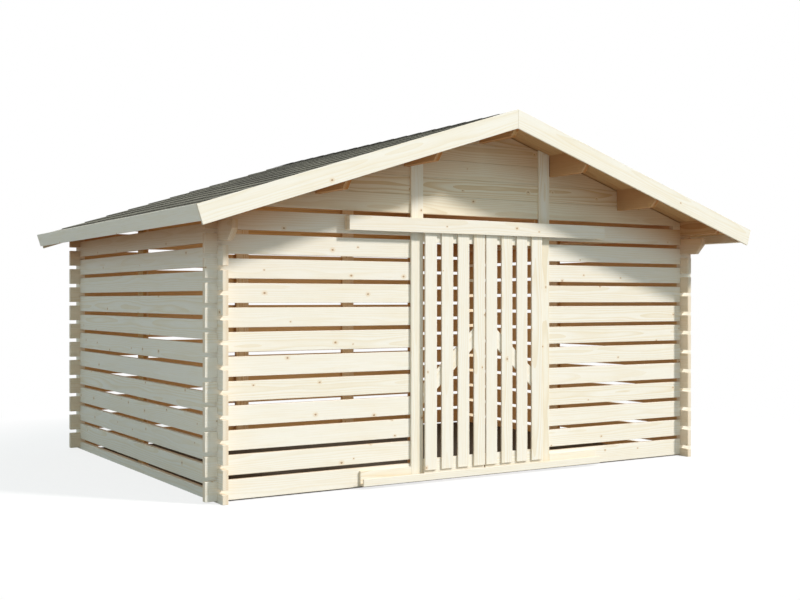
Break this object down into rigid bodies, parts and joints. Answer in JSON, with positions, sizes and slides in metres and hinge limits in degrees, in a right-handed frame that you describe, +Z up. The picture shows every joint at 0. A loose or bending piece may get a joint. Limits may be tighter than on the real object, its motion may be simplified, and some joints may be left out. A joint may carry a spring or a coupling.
{
  "type": "woodshed",
  "caption": "Slatted timber woodshed with notched corners, a low shingled gable roof that reaches out in front, and two sliding slatted door leaves.",
  "frame": {"origin": "middle of the bounding box at the ground", "axes": "+X along the front to the right as one faces the doors, +Y from the front to the back, +Z up"},
  "size_m": [5.142, 4.022, 2.8364],
  "materials": {
    "wall_timber": "planed spruce",
    "roof_timber": "planed spruce",
    "inner_timber": "planed spruce",
    "trim_timber": "planed spruce",
    "door_timber": "planed spruce",
    "shingle": "mineral grit on bitumen",
    "steel": "galvanised"
  },
  "bodies": {
    "shed": {"front_wall_left": "wall_timber", "front_wall_right": "wall_timber", "front_lintel_board": "wall_timber", "front_gable": "wall_timber", "back_wall": "wall_timber", "back_gable": "wall_timber", "left_wall": "wall_timber", "right_wall": "wall_timber", "left_long_log": "wall_timber", "right_long_log": "wall_timber", "left_eave_purlin": "wall_timber", "right_eave_purlin": "wall_timber", "ridge_purlin": "roof_timber", "slope_purlins": "roof_timber", "front_posts": "trim_timber", "inner_posts": "inner_timber", "back_battens": "inner_timber", "left_batten": "inner_timber", "right_batten": "inner_timber", "left_roof_boards": "roof_timber", "right_roof_boards": "roof_timber", "left_shingles": "shingle", "right_shingles": "shingle", "ridge_cap": "shingle", "front_barge_boards": "trim_timber", "back_barge_boards": "trim_timber", "eave_fascias": "trim_timber", "header_beam": "trim_timber", "header_cover": "trim_timber", "header_blocks": "trim_timber", "door_track": "steel", "guide_channel": "trim_timber", "guide_backs": "trim_timber"},
    "left_door": {"left_door_slats": "door_timber", "left_door_top_rail": "door_timber", "left_door_bottom_rail": "door_timber", "left_door_brace": "door_timber", "left_door_trolleys": "steel"},
    "right_door": {"right_door_slats": "door_timber", "right_door_top_rail": "door_timber", "right_door_bottom_rail": "door_timber", "right_door_brace": "door_timber", "right_door_trolleys": "steel"}
  },
  "joints": [
    {"name": "left_door_slide", "type": "slide", "parent": "shed", "child": "left_door", "axis": [-1, 0, 0], "range_m": [0, 0.56]},
    {"name": "right_door_slide", "type": "slide", "parent": "shed", "child": "right_door", "axis": [1, 0, 0], "range_m": [0, 0.56]}
  ]
}
